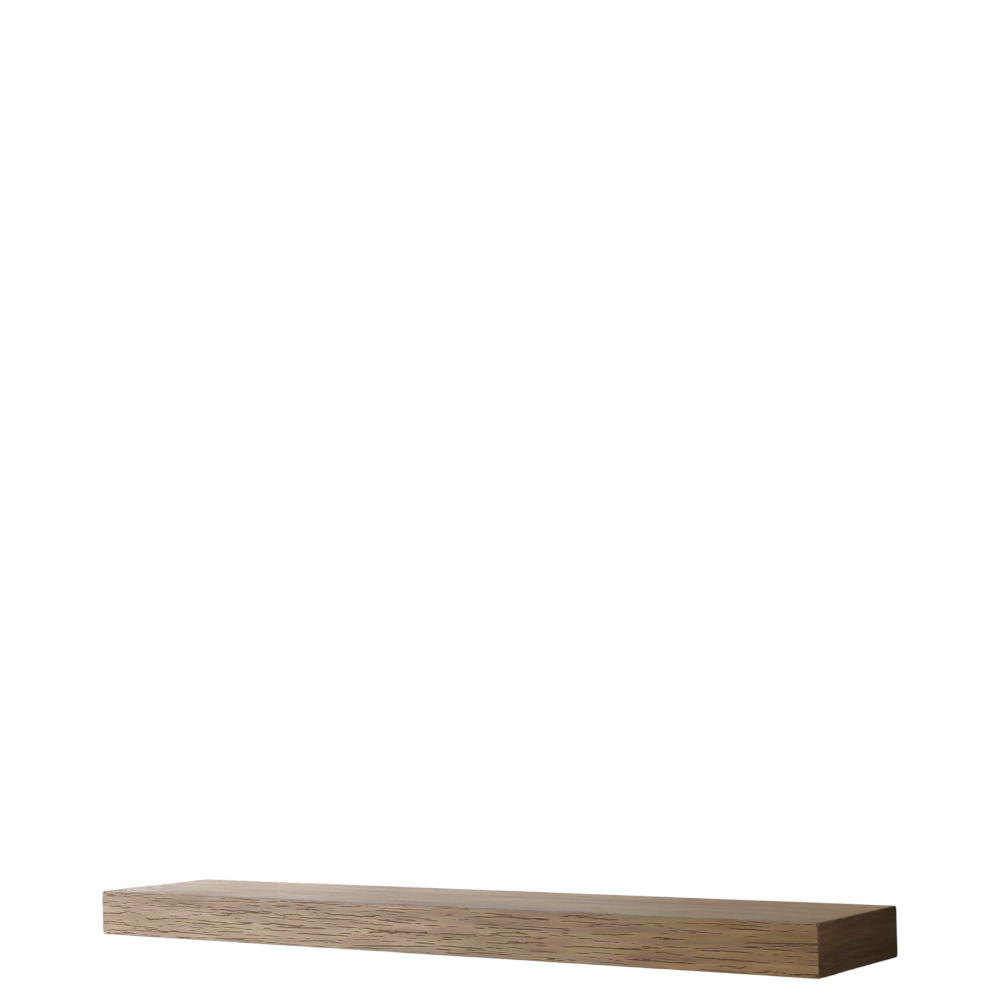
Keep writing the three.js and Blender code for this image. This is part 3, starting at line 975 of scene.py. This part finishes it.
def oakMaterial(column):
    face = {key: values[column] for key, values in oakFaces.items()}
    material, spot = newMaterial(face["name"])
    tree = spot.id_data
    placed = alongGrain(spot, face["grainAxis"], face["shift"])
    sway = put(tree, "TexNoise", {"Scale": oak["swayScale"], "Vector": placed}, "Color")
    sway = vector("MULTIPLY", vector("SUBTRACT", sway, (0.5, 0.5, 0.5)), oak["sway"])
    grain = vector("ADD", placed, sway)
    parts = put(tree, "SeparateXYZ", {0: spot}).node.outputs

    def acrossBox(axis, low, high):
        return ranged(parts[axis], float(boxLow[axis]), float(boxHigh[axis]), low, high)

    # hue: dark to pale patches, in pink and in olive colours between which the board wanders
    patches = noise(grain, face["patchSize"])
    ramps = []
    for colours in (oak["pinkColours"], oak["oliveColours"]):
        stops = [(oak["patchStops"][index], paint(colours[index])) for index in (0, 3, 1, 2)]
        ramps.append(put(tree, "ValToRGB", {0: patches}, stops=stops))
    hue = ranged(noise(grain, face["hueSize"]), *face["hueSpan"], 0.0, 1.0)
    base = mixed(hue, *ramps)

    # tone: broad streaks, fine fibres, open pores, thin pale rays and the drift across the board, on the
    # ends painted light
    along = acrossBox(face["grainAxis"], 0.0, 1.0)
    swing = oak["broad"] * face["contrast"]
    cloudy = ranged(noise(grain, face["streakSize"], 4.0, 0.6), *usual, -swing, swing)
    toned = calc("MULTIPLY_ADD", cloudy, ranged(along, 0.0, 1.0, *face["swell"]), 1.0)
    swing = oak["fine"] * face["contrast"]
    fibres = noise(grain, oak["fineSize"], 3.0, 0.6)
    fine = ranged(fibres, *usual, 1 - swing, 1 + swing)
    pores = layer(grain, *oak["pores"])
    for factor in (fine, pores, layer(grain, *oak["paleRays"]), acrossBox(*face["tone"])):
        toned = calc("MULTIPLY", toned, factor)
    # painted light along the grain: a grey sheen at the left end of the front and flat boards, a brighter
    # front edge on the ends
    tint = put(tree, "Mix", {0: along, 4: face["lowEndPaintedLight"], 5: face["highEndPaintedLight"]}, 1, data_type="VECTOR")
    colour = scaled(vector("MULTIPLY", base, tint), toned)

    # marks: painted lip highlights, ragged grey wear partly painted highlight, fresh chips and, last, the
    # checks' painted shade
    flakes = noise(placed, oak["flakeSize"], 3.0, 0.6)
    for mark, (strength, markColour) in oak["marks"].items():
        share = put(tree, "Attribute", output="Fac", attribute_name=mark)
        if mark in oak["flakes"]:
            share = calc("MULTIPLY", share, ranged(flakes, *oak["flakes"][mark]))
        marked = calc("MULTIPLY", share, strength, use_clamp=True)
        colour = mixed(marked, colour, markColour)
    rough = calc("MAXIMUM", ranged(fibres, *usual, *face["roughness"]), share)
    closeMaterial(colour, rough, calc("MULTIPLY", fine, pores), oak["bumpDepth"],
                  {"IOR": 1.5, "Specular IOR Level": face["specular"]})
    return material


oakFront, oakFlat, oakEnd = (oakMaterial(column) for column in range(3))
makeBoard("front_panel", oakFront)
makeBoard("top_panel", oakFlat)
bottomBoard = makeBoard("bottom_panel", oakFlat)
makeBoard("left_end_panel", oakEnd)
makeBoard("right_end_panel", oakEnd)


# Polyester powder coat on mild steel, sprayed and baked: near black, half matt, with a fine orange
# peel and a little dust grey where hands and timber have rubbed it
coat = {
    "colour": "#1d1e20",
    "rubbedColour": "#34353a",
    "peelSize": 0.9,
    "grainSize": 0.28,
    "grainShare": 0.35,
    "scuffs": ((1.6, 26, 1.6), 3.0, 0.65, 0.56, 0.70, 0.0, 0.8),
    "clouds": (45, 3.0, 0.5, 0.35, 0.7, 0.0, 0.35),
    "roughness": (0.42, 0.58),
    "specular": 0.45,
    "bumpDepth": 0.05 * mm,
}


def powderCoatMaterial():
    material, spot = newMaterial("blackPowderCoat")
    peel = noise(spot, coat["peelSize"], 1.0)
    grain = noise(spot, coat["grainSize"])
    rubbed = calc("MAXIMUM", layer(spot, *coat["scuffs"]), layer(spot, *coat["clouds"]))
    colour = mixed(rubbed, coat["colour"], coat["rubbedColour"])
    rough = ranged(peel, *usual, *coat["roughness"])
    height = calc("MULTIPLY_ADD", grain, coat["grainShare"], peel)
    closeMaterial(colour, rough, height, coat["bumpDepth"], {"Specular IOR Level": coat["specular"]})
    return material


# Bright zinc plate on cold headed steel: bluish white metal, a little iridescent, with soft cloudy
# patches and fine handling scratches
zinc = {
    "colour": "#b4b8bd",
    "warmColour": "#bdb6a2",
    "coolColour": "#a3b0c0",
    "warmth": (0.5, 0.7, 0.0, 0.7),
    "coolness": (0.5, 0.3, 0.0, 0.7),
    "cloudSize": 3.5,
    "tintSize": 6.0,
    "scratchSize": (0.25, 4.0, 0.25),
    "scratchShare": 0.5,
    "roughness": (0.5, 1.0, 0.24, 0.42),
    "bumpDepth": 0.02 * mm,
}


def zincMaterial():
    material, spot = newMaterial("brightZincPlate")
    tint = noise(spot, zinc["tintSize"])
    warm = mixed(ranged(tint, *zinc["warmth"]), zinc["colour"], zinc["warmColour"])
    colour = mixed(ranged(tint, *zinc["coolness"]), warm, zinc["coolColour"])
    scratches = noise(spot, zinc["scratchSize"], 2.0, 0.6)
    clouds = noise(spot, zinc["cloudSize"], 4.0, 0.6)
    both = calc("MULTIPLY_ADD", scratches, zinc["scratchShare"], clouds)
    closeMaterial(colour, ranged(both, *zinc["roughness"]), scratches, zinc["bumpDepth"],
                  {"Metallic": 1.0})
    return material


# Polyamide 6, injection moulded: neutral grey with a satin spark eroded skin, slightly waxy, paler
# where it was bent or scraped on the way into the wall
nylon = {
    "colour": "#85888d",
    "scrapedColour": "#a9abae",
    "flow": ((5, 18, 5), 2.0, 0.5, 0.35, 0.65, 0.0, 0.25),
    "scrapes": ((0.8, 7, 0.8), 3.0, 0.6, 0.58, 0.72, 0.0, 0.6),
    "skinSize": 0.22,
    "roughness": (0.40, 0.55),
    "specular": 0.45,
    "subsurface": 0.08,
    "bumpDepth": 0.03 * mm,
}


def nylonMaterial():
    material, spot = newMaterial("greyMouldedNylon")
    pale = calc("MAXIMUM", layer(spot, *nylon["flow"]), layer(spot, *nylon["scrapes"]))
    colour = mixed(pale, nylon["colour"], nylon["scrapedColour"])
    skin = noise(spot, nylon["skinSize"], 1.0)
    closeMaterial(colour, ranged(skin, *usual, *nylon["roughness"]), skin, nylon["bumpDepth"],
                  {"Specular IOR Level": nylon["specular"], "Subsurface Weight": nylon["subsurface"]})
    return material


# Free cutting brass, turned from bar: warm yellow metal with fine tool lines round it and a thin
# brown tarnish in patches
brass = {
    "colour": "#c9a55c",
    "tarnishColour": "#8f7242",
    "tarnish": (2.6, 4.0, 0.6, 0.48, 0.68, 0.0, 0.75),
    "toolPitch": 0.16,
    "roughness": (0.0, 0.75, 0.22, 0.42),
    "bumpDepth": 0.02 * mm,
}


def brassMaterial():
    material, spot = newMaterial("turnedBrass")
    tarnish = layer(spot, *brass["tarnish"])
    colour = mixed(tarnish, brass["colour"], brass["tarnishColour"])
    lines = wave(spot, brass["toolPitch"], wave_type="BANDS", bands_direction="Z")
    closeMaterial(colour, ranged(tarnish, *brass["roughness"]), lines, brass["bumpDepth"],
                  {"Metallic": 1.0})
    return material


# Scots pine, sawn and planed, left bare: cream early wood with orange brown late wood rings that
# run as stripes along the faces and as arcs on the ends, and a darker knot here and there
pine = {
    "earlyColour": "#cdb083",
    "lateColour": "#a67b48",
    "knotColour": "#6d4526",
    "ringPitch": 3.6,
    "ringLevels": ((0.0, 0.0), (0.55, 0.12), (0.86, 0.8), (0.98, 0.95)),
    "pith": (0.0, 31 * mm, -22 * mm),
    "wander": (0, 4.4 * mm, 4.4 * mm),
    "wanderSize": (160, 26),
    "fibreSize": (14, 0.5),
    "fibreTone": (0.90, 1.10),
    "patches": ((190, 60), 2.0, 0.5, 0.3, 0.7, 0.90, 1.08),
    "knotCells": (1000 / 150, 22, 22),
    "knots": (0.05, 0.09, 1.0, 0.0),
    "ringHeight": 0.5,
    "roughness": (0.52, 0.70),
    "specular": 0.3,
    "bumpDepth": 0.06 * mm,
}


def pineMaterial(name, grainAxis, shift):
    material, spot = newMaterial(name)
    tree = spot.id_data
    placed = alongGrain(spot, grainAxis, shift)
    wander = noise(placed, pine["wanderSize"], 3.0, output=1)
    wander = vector("MULTIPLY", vector("SUBTRACT", wander, (0.5, 0.5, 0.5)), pine["wander"])
    fromPith = vector("ADD", vector("SUBTRACT", placed, pine["pith"]), wander)
    rings = wave(fromPith, pine["ringPitch"], wave_type="RINGS", rings_direction="X",
                 wave_profile="SAW")
    stops = [(place, (level, level, level, 1.0)) for place, level in pine["ringLevels"]]
    late = put(tree, "ValToRGB", {0: rings}, stops=stops)
    cells = vector("MULTIPLY", placed, pine["knotCells"])
    knots = put(tree, "TexVoronoi", {"Scale": 1.0, "Randomness": 1.0, "Vector": cells}, "Distance")
    fibre = noise(placed, pine["fibreSize"], 3.0, 0.6)
    tone = ranged(fibre, *usual, *pine["fibreTone"])
    tone = calc("MULTIPLY", tone, layer(placed, *pine["patches"]))
    wood = mixed(late, pine["earlyColour"], pine["lateColour"])
    wood = mixed(ranged(knots, *pine["knots"]), wood, pine["knotColour"])
    height = calc("MULTIPLY_ADD", late, pine["ringHeight"], fibre)
    rough = ranged(fibre, *usual, *pine["roughness"])
    closeMaterial(scaled(wood, tone), rough, height, pine["bumpDepth"],
                  {"Specular IOR Level": pine["specular"]})
    return material


blackCoat = powderCoatMaterial()
zincPlate = zincMaterial()
greyNylon = nylonMaterial()
turnedBrass = brassMaterial()
pineLong = pineMaterial("planedPineRails", 0, (0.0, 0.0, 0.0))
pineShort = pineMaterial("planedPineRibs", 1, (0.21, 0.07, 0.11))
print("finishes of the core, bracket and fixings made")


# The core: planed rails and ribs with eased arrises
timber = {"arris": 0.6 * mm, "segments": 2, "sameFace": 1}


def makeTimber(name, material):
    piece = copyOf(nodes[name], name + "_timber")
    selectOnly(piece)
    openMesh()
    bpy.ops.mesh.remove_doubles(threshold=weldDistance)
    bpy.ops.mesh.dissolve_limited(angle_limit=math.radians(timber["sameFace"]))
    closeMesh()
    easeEdges(piece, timber["arris"], timber["segments"])
    finishPiece(piece, "shelf", name, material)


for name in ("front_rail", "rear_rail"):
    makeTimber(name, pineLong)
for number in range(1, 6):
    makeTimber(f"rib_{number}", pineShort)
print("core made")


# The bracket's plate: flat bar with rounded corners, drilled for the plugs
plate = {
    "cornerRadius": 3 * mm,
    "cornerSegments": 6,
    "arris": 0.5 * mm,
    "arrisSegments": 2,
    "holeRadius": 4.25 * mm,
    "holeSides": 40,
    "drillLength": 30 * mm,
}


def makePlate():
    low, high = (Vector(corner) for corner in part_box("back_plate"))
    piece = shape(bpy.ops.mesh.primitive_cube_add, size=1, location=(low + high) / 2, scale=high - low)
    piece.name = "bracket_plate"
    applyPlace()
    spots = [vertex.co for vertex in piece.data.vertices]

    def runsThrough(edge):
        first, second = edge.vertices
        return abs(spots[first].y - spots[second].y) > 1 * mm

    openPicked(piece.data.edges, runsThrough)
    bpy.ops.mesh.bevel(offset=plate["cornerRadius"], segments=plate["cornerSegments"])
    closeMesh()
    for number in range(1, 5):
        x, _, z = middleOf(f"wall_plug_{number}")
        cutAway(piece, shape(bpy.ops.mesh.primitive_cylinder_add, vertices=plate["holeSides"],
                             radius=plate["holeRadius"], depth=plate["drillLength"],
                             location=(x, (low.y + high.y) / 2, z), rotation=(math.radians(90), 0, 0)))
    easeEdges(piece, plate["arris"], plate["arrisSegments"])
    finishPiece(piece, "wall_bracket", "back_plate", blackCoat)


# The four rods and the weld bead round each foot: a fillet laid in overlapping ripples, each a
# crescent that leans round the rod
rod = {"chamfer": 1.5 * mm, "soften": 0.3 * mm, "sides": 48, "lengths": 4}
weld = {
    "gap": 0.05 * mm,
    "swell": 0.21,
    "ripples": 27,
    "rippleDepth": 0.28 * mm,
    "rippleShape": 1.6,
    "slide": 0.7,
    "lean": 0.65,
    "unevenness": 0.07,
    "turnBetween": 61,
    "sides": 216,
    "steps": 9,
}


def makeRods():
    radius, length = roundSize("support_rod_1")
    chamfer, soften = rod["chamfer"], rod["soften"]
    profile = [(radius - chamfer - soften, 0), (radius - chamfer + 0.7 * soften, 0.3 * soften),
               (radius - 0.7 * soften, chamfer - 0.5 * soften), (radius, chamfer + soften)]
    profile += evenly(radius, chamfer + soften, length, rod["lengths"])
    model = lathe("rod_model", profile, rod["sides"])
    layAlongY(model)
    setOut(model, "rod", "support_rod", range(1, 5), blackCoat)


def makeWelds():
    outer, leg = roundSize("weld_bead_1")
    inner = roundSize("support_rod_1")[0] + weld["gap"]
    profile = [(inner, leg), (inner, 0)]
    for step in range(1, weld["steps"]):
        share = step / weld["steps"]
        swell = 1 + weld["swell"] * share * (1 - share)
        profile.append((inner + (outer - inner) * share * swell, leg * (1 - (1 - share) * swell)))
    profile += [(outer, leg), (inner, leg)]
    model = lathe("weld_model", profile, weld["sides"], isRing=True)
    points = readPoints(model)
    radius = np.hypot(points[:, 0], points[:, 1])
    angle = np.arctan2(points[:, 1], points[:, 0])
    across = np.clip((radius - inner) / (outer - inner), 0, 1)
    crescent = 4 * across * (1 - across)
    phase = angle / math.tau * weld["ripples"] - weld["lean"] * crescent
    phase = (phase + weld["unevenness"] * np.sin(5 * angle)) % 1
    sink = weld["rippleDepth"] * phase ** weld["rippleShape"] * np.clip(3 * crescent, 0, 1)
    sink[radius < inner + 0.02 * mm] = 0
    share = 1 - weld["slide"] * sink / radius
    points[:, :2] *= share[:, None]
    points[:, 2] = np.minimum(points[:, 2] + weld["slide"] * sink, leg)
    writePoints(model, points)
    layAlongY(model)
    setOut(model, "weld", "weld_bead", range(1, 5), blackCoat, angle=55,
           spin=weld["turnBetween"])


makePlate()
makeRods()
makeWelds()
print("bracket made")


# Frame plugs: moulded nylon, ridged near the tip, split crosswise so that the legs spread
plug = {
    "collarThickness": 1.0 * mm,
    "shankRadius": 4.0 * mm,
    "boreRadius": 2.65 * mm,
    "dishRadius": 4.15 * mm,
    "ridgeCount": 5,
    "ridgePitch": 4.6 * mm,
    "ridgeHeight": 0.35 * mm,
    "nose": 2.5 * mm,
    "slotLength": 24 * mm,
    "slotWidth": 1.0 * mm,
    "sawReach": 20 * mm,
    "sides": 48,
}


def makePlugs():
    collar, length = roundSize("wall_plug_1")
    shank, bore, thick = plug["shankRadius"], plug["boreRadius"], plug["collarThickness"]
    dish, nose, pitch = plug["dishRadius"], plug["nose"], plug["ridgePitch"]
    root = shank - plug["ridgeHeight"]
    rise = pitch - plug["ridgeHeight"]
    ridgeStart = length - nose - plug["ridgeCount"] * pitch
    profile = [(dish, 0), (collar - 0.15 * mm, 0), (collar, 0.15 * mm), (collar, thick),
               (shank + 0.1 * mm, thick), (shank, thick + 0.1 * mm), (shank, ridgeStart - 1.2 * mm)]
    for number in range(plug["ridgeCount"]):
        start = ridgeStart + number * pitch
        profile += [(root, start), (root + 0.02 * mm, start + 0.7 * mm),
                    (shank - 0.04 * mm, start + rise - 0.5 * mm),
                    (shank, start + rise - 0.1 * mm), (shank - 0.05 * mm, start + rise + 0.05 * mm)]
    profile += [(root, length - nose), (bore + 0.6 * mm, length - 0.7 * mm), (bore + 0.25 * mm, length),
                (bore, length - 0.1 * mm), (bore, dish - bore), (dish, 0)]
    model = lathe("plug_model", profile, plug["sides"], isRing=True)
    for turn in (0, 90):
        cutAway(model, shape(bpy.ops.mesh.primitive_cube_add, size=1, location=(0, 0, length),
                             rotation=(0, 0, math.radians(turn)),
                             scale=(plug["sawReach"], plug["slotWidth"], 2 * plug["slotLength"])))
    layAlongY(model)
    setOut(model, "plug", "wall_plug", range(1, 5), greyNylon, angle=35)


# Countersunk screws with a cross recess, a coarse rolled thread and a gimlet point
screw = {
    "rim": 0.3 * mm,
    "shankRadius": 2.5 * mm,
    "neckRadius": 2.05 * mm,
    "point": 5 * mm,
    "threadStart": 15 * mm,
    "threadPitch": 2.3 * mm,
    "threadDepth": 0.75 * mm,
    "threadCrest": 0.16,
    "threadSteps": 9,
    "recessDepth": 1.8 * mm,
    "recessWidth": 1.1 * mm,
    "recessLength": 5.0 * mm,
    "recessTaper": (0.30, 0.75, 1),
    "turnBetween": 37,
    "sides": 28,
}


def makeScrews():
    head, length = roundSize("wall_screw_1")
    shank, rim, neck = screw["shankRadius"], screw["rim"], screw["neckRadius"]
    start, pitch, depth = screw["threadStart"], screw["threadPitch"], screw["recessDepth"]
    coneEnd = rim + head - shank
    step = pitch / screw["threadSteps"]
    pointStart = length - screw["point"]
    profile = [(head - 0.25 * mm, 0), (head - 0.06 * mm, 0.06 * mm), (head, rim), (shank, coneEnd),
               (neck, coneEnd + 0.6 * mm), (neck, start - 0.6 * mm), (shank, start)]
    profile += evenly(shank, start, pointStart, int(round((pointStart - start) / step)))
    rings = int(round(screw["point"] / step))
    profile += [(max(shank * (1 - ring / rings) ** 0.8, 0.12 * mm),
                 pointStart + screw["point"] * ring / rings) for ring in range(1, rings + 1)]
    model = lathe("screw_model", profile, screw["sides"])
    cutThread(model, start - 0.5 * mm, length, pitch, screw["threadDepth"], screw["threadCrest"])
    for turn in (0, 90):
        # one wing of the recess: a block whose far end is drawn in
        wing = shape(bpy.ops.mesh.primitive_cube_add, size=1,
                     scale=(screw["recessLength"], screw["recessWidth"], 2 * depth))
        applyPlace()
        openPicked(wing.data.polygons, lambda face: face.normal.z > 0.9)
        bpy.ops.transform.resize(value=screw["recessTaper"], center_override=(0, 0, depth))
        bpy.ops.mesh.select_all(action="SELECT")
        bpy.ops.transform.rotate(value=math.radians(turn), orient_axis="Z", center_override=(0, 0, 0))
        closeMesh()
        cutAway(model, wing)
    layAlongY(model)
    setOut(model, "screw", "wall_screw", range(1, 5), zincPlate, angle=38,
           spin=screw["turnBetween"])


makePlugs()
makeScrews()
print("wall plugs and screws made")


# Grub screws with a hex socket below, and the threaded inserts that hold them
grub = {
    "radius": 3.0 * mm,
    "chamfer": 0.6 * mm,
    "pitch": 1.0 * mm,
    "threadDepth": 0.5 * mm,
    "threadCrest": 0.1,
    "threadSteps": 9,
    "keySize": 3.0 * mm,
    "socketDepth": 3.5 * mm,
    "coneRadius": 1.35 * mm,
    "coneDepth": 0.8 * mm,
    "coneSides": 24,
    "sides": 36,
}
sleeve = {
    "bore": 3.08 * mm,
    "body": 4.0 * mm,
    "flangeThickness": 1.0 * mm,
    "outerPitch": 1.6 * mm,
    "outerDepth": 0.35 * mm,
    "outerCrest": 0.2,
    "innerDepth": 0.3 * mm,
    "innerCrest": 0.1,
    "steps": 8,
    "sides": 40,
}


def makeGrubs():
    length = roundSize("lock_screw_left", 2)[1]
    radius, chamfer, depth = grub["radius"], grub["chamfer"], grub["socketDepth"]
    rings = int(round((length - 2 * chamfer) / (grub["pitch"] / grub["threadSteps"])))
    profile = [(radius - chamfer, 0), (radius, chamfer), *evenly(radius, chamfer, length - chamfer, rings),
               (radius - chamfer, length)]
    model = lathe("grub_model", profile, grub["sides"])
    cutThread(model, 0, length, grub["pitch"], grub["threadDepth"], grub["threadCrest"],
              wall=(radius - 0.4 * mm, 1))
    # the socket: a hexagonal broach, with the cone of the drill below it
    cutAway(model, shape(bpy.ops.mesh.primitive_cylinder_add, vertices=6,
                         radius=grub["keySize"] / math.sqrt(3), depth=2 * depth))
    cutAway(model, shape(bpy.ops.mesh.primitive_cone_add, vertices=grub["coneSides"],
                         radius1=grub["coneRadius"], radius2=0, depth=grub["coneDepth"],
                         location=(0, 0, depth + 0.35 * mm)))
    setOut(model, "grub", "lock_screw", leftRight, zincPlate, body=None, axis=2, angle=38)


def makeSleeves():
    flange, length = roundSize("insert_left", 2)
    bore, body, thick = sleeve["bore"], sleeve["body"], sleeve["flangeThickness"]
    depth, steps = sleeve["innerDepth"], sleeve["steps"]
    outer = int(round((length - thick) / (sleeve["outerPitch"] / steps)))
    inner = int(round(length / (grub["pitch"] / steps)))
    mouth = bore + 0.35 * mm
    top = length - depth
    profile = [(mouth, 0), (flange - 0.2 * mm, 0), (flange, 0.2 * mm), (flange, thick - 0.1 * mm),
               (flange - 0.1 * mm, thick), (body, thick), *evenly(body, thick, length, outer)[:-1],
               (body - 0.3 * mm, length), (bore + 0.2 * mm, length), (bore, top),
               *evenly(bore, top, 0.35 * mm, inner), (mouth, 0)]
    model = lathe("sleeve_model", profile, sleeve["sides"], isRing=True)
    cutThread(model, thick, length, sleeve["outerPitch"], sleeve["outerDepth"], sleeve["outerCrest"],
              wall=(3.9 * mm, 4.05 * mm))
    cutThread(model, depth, length, grub["pitch"], -depth, sleeve["innerCrest"],
              wall=(0, bore + 0.01 * mm))
    setOut(model, "sleeve", "insert", leftRight, turnedBrass, body="shelf", axis=2, angle=38)


# Two access holes in the bottom board, drilled from below and lightly countersunk
accessHole = {"radius": 4 * mm, "chamfer": 0.5 * mm, "depth": 12 * mm, "sides": 40}


def drillBottom():
    radius, chamfer = accessHole["radius"], accessHole["chamfer"]
    level = boxLow[2]
    profile = [(radius + 2 * chamfer, level - chamfer), (radius, level + chamfer),
               (radius, level + accessHole["depth"])]
    for side in leftRight:
        drill = lathe("drill", profile, accessHole["sides"])
        x, y, _ = middleOf(f"lock_screw_{side}")
        drill.data.transform(Matrix.Translation((x, y, 0)))
        cutAway(bottomBoard, drill, "MANIFOLD")
    selectOnly(bottomBoard)
    smooth(board["smoothAngle"])


makeGrubs()
makeSleeves()
drillBottom()
print("grub screws and inserts made")
